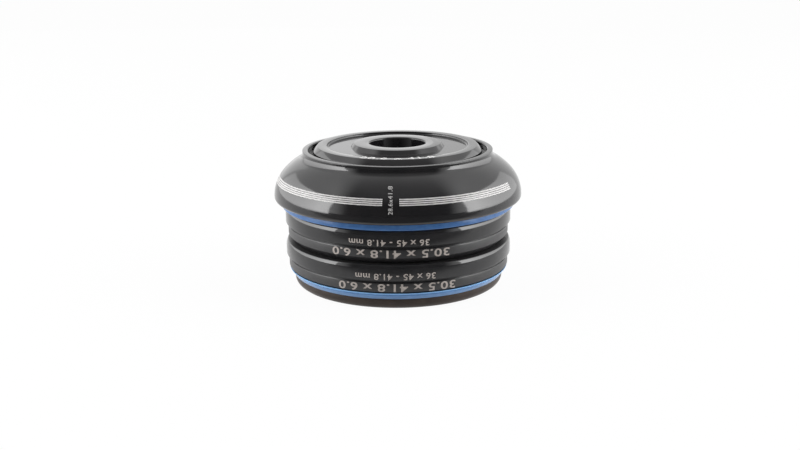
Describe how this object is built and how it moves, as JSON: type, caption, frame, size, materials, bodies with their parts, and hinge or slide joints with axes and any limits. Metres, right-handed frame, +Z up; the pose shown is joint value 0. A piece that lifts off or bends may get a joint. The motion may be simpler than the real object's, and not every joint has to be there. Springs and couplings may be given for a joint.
{
  "type": "bicycle headset",
  "caption": "Integrated bicycle headset stack with a recessed top cap, domed bearing cover, blue ring seals, angular contact cartridge bearings and a crown race.",
  "frame": {"origin": "on the steering axis, at the flat underside of the crown race", "axes": "+Z up along the steering axis, +X to the right and +Y away from the picture's camera"},
  "size_m": [0.0456, 0.0456, 0.0259],
  "materials": {
    "black_anodised": "gloss black anodised",
    "black_steel": "satin black coated, finely turned",
    "ball_steel": "polished",
    "cage_nylon": "matt moulded",
    "black_rubber": "matt",
    "blue_seal": "satin moulded",
    "race_steel": "satin dark oxide, turned",
    "bare_aluminium": "turned, bare"
  },
  "bodies": {
    "crown_side": {"crown_race": "race_steel", "crown_race_seal": "blue_seal", "lower_inner_ring": "black_steel"},
    "head_tube_side": {"lower_outer_ring": "black_steel", "lower_top_seal": "black_rubber", "lower_bottom_seal": "black_rubber", "upper_outer_ring": "black_steel", "upper_top_seal": "black_rubber", "upper_bottom_seal": "black_rubber"},
    "steering_side": {"upper_inner_ring": "black_steel", "compression_ring": "bare_aluminium", "bearing_cover": "black_anodised", "cover_seal": "blue_seal", "top_cap": "black_anodised"},
    "lower_ball_set": {"lower_balls": "ball_steel", "lower_ball_cage": "cage_nylon"},
    "upper_ball_set": {"upper_balls": "ball_steel", "upper_ball_cage": "cage_nylon"}
  },
  "joints": [
    {"name": "lower_bearing_turn", "type": "hinge", "parent": "crown_side", "child": "head_tube_side", "pos_m": [0, 0, 0.0054], "axis": [0, 0, 1], "continuous": true},
    {"name": "upper_bearing_turn", "type": "hinge", "parent": "head_tube_side", "child": "steering_side", "pos_m": [0, 0, 0.0114], "axis": [0, 0, 1], "continuous": true},
    {"name": "lower_ball_roll", "type": "hinge", "parent": "crown_side", "child": "lower_ball_set", "pos_m": [0, 0, 0.0054], "axis": [0, 0, 1], "continuous": true},
    {"name": "upper_ball_roll", "type": "hinge", "parent": "head_tube_side", "child": "upper_ball_set", "pos_m": [0, 0, 0.0114], "axis": [0, 0, 1], "continuous": true}
  ],
  "couplings": [
    {"joint": "lower_ball_roll", "follows": "lower_bearing_turn", "ratio": 0.527},
    {"joint": "upper_ball_roll", "follows": "upper_bearing_turn", "ratio": 0.473}
  ]
}
